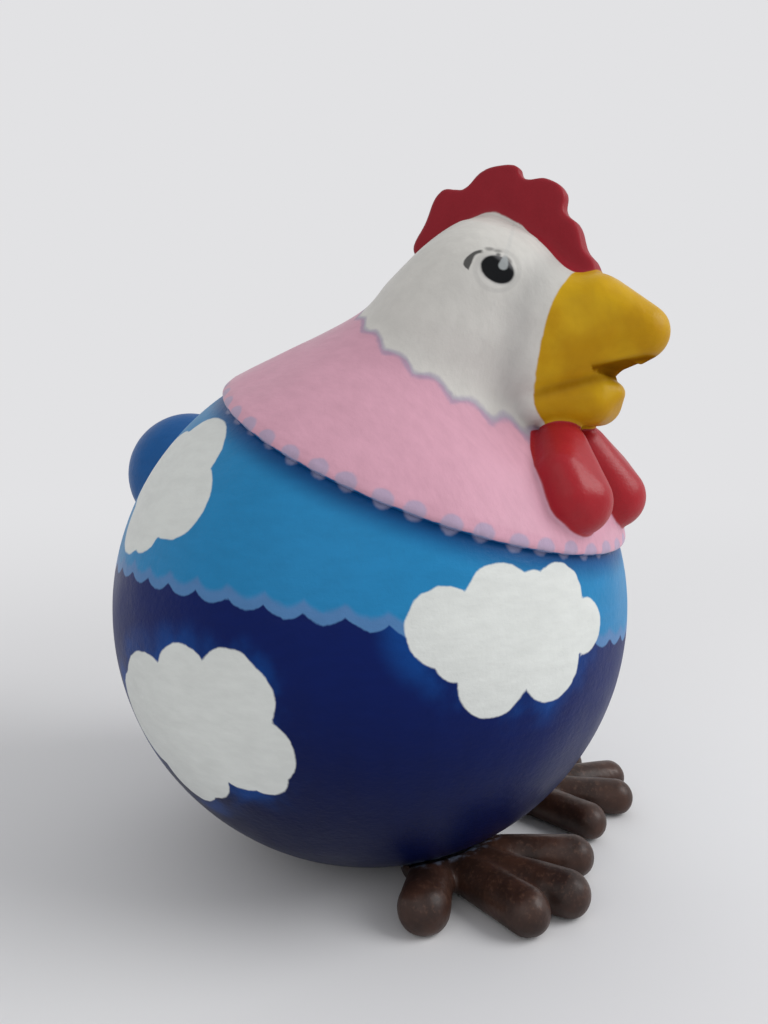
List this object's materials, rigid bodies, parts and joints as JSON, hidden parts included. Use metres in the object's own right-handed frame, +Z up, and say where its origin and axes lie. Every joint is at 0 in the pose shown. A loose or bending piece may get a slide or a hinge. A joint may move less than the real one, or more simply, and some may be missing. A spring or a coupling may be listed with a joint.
{
  "type": "hen figurine",
  "caption": "Ball-bodied standing hen figurine with a tilted collar, comb, open beak, wattles and tail lump, on splayed clay feet.",
  "frame": {"origin": "centre of the small flat under the ball, on the surface that the hen stands on", "axes": "+Z up, the hen faces -Y, its right side is -X"},
  "size_m": [0.3091, 0.3814, 0.3872],
  "materials": {
    "painted_body": "satin acrylic paint over papier mache, in blue, dark blue, pink, white, red and yellow fields",
    "painted_foot": "satin dark brown paint over modelled clay"
  },
  "bodies": {
    "root": {"hen_body": "painted_body", "foot_right": "painted_foot", "foot_left": "painted_foot"}
  },
  "joints": []
}
